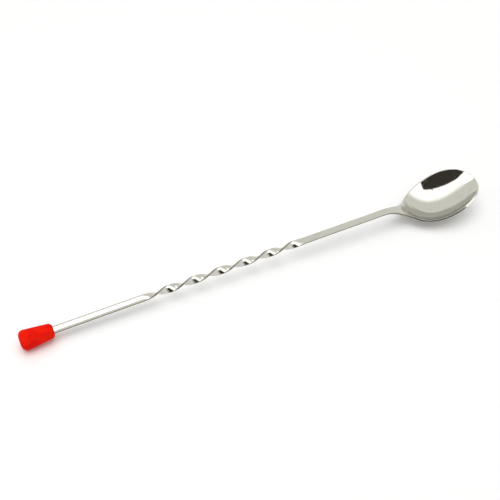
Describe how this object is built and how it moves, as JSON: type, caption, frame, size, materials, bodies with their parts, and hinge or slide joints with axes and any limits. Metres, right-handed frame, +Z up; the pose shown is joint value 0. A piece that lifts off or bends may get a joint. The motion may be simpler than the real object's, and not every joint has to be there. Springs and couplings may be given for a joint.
{
  "type": "bar spoon",
  "caption": "Long-handled mixing spoon stamped from one steel strip, with an oval bowl, a twisted flat shank and a tapered push-on end cap.",
  "frame": {"origin": "on the table under the middle of the length, with the spoon lying on its cap and its bowl's belly", "axes": "+X from the cap to the bowl's tip, +Y across the bowl, +Z up, the bowl's hollow facing up"},
  "size_m": [0.281, 0.0338, 0.0177],
  "materials": {
    "steel": "polished stainless steel",
    "cap_plastic": "satin moulded red plastic"
  },
  "bodies": {
    "root": {"spoon": "steel", "end_cap": "cap_plastic"}
  },
  "joints": []
}
